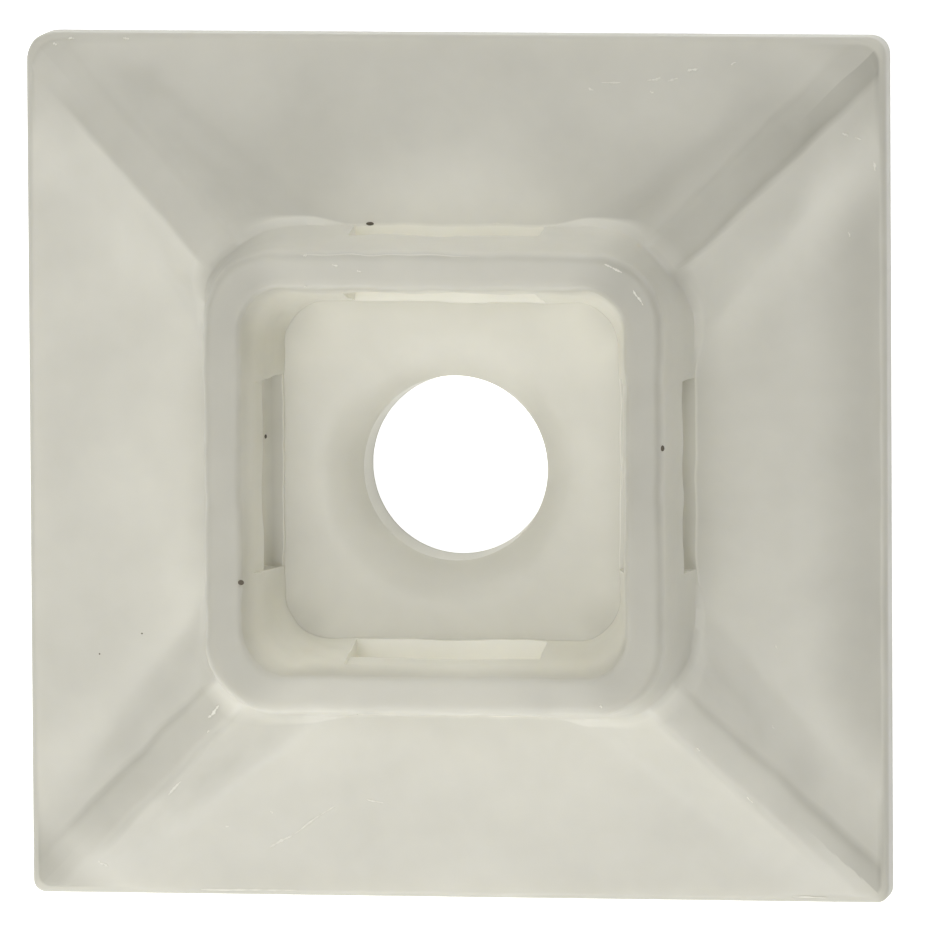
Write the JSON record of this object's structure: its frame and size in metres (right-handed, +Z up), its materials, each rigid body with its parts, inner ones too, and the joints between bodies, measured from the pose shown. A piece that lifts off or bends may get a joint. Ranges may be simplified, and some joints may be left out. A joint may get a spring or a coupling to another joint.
{
  "type": "cable tie mount",
  "caption": "Square base rising in ramps to a hollow tower, with a tie slot through each wall, bracing ridges and a central screw hole.",
  "frame": {"origin": "centre of the flat underside, on the screw hole's axis", "axes": "+Z up out of the surface that the mount is fixed to, along the screw; +X and +Y along the two tie paths, square to the base's edges"},
  "size_m": [0.028, 0.028, 0.0063],
  "materials": {
    "nylon": "natural nylon, moulded satin"
  },
  "bodies": {
    "root": {"mount_body": "nylon"}
  },
  "joints": []
}
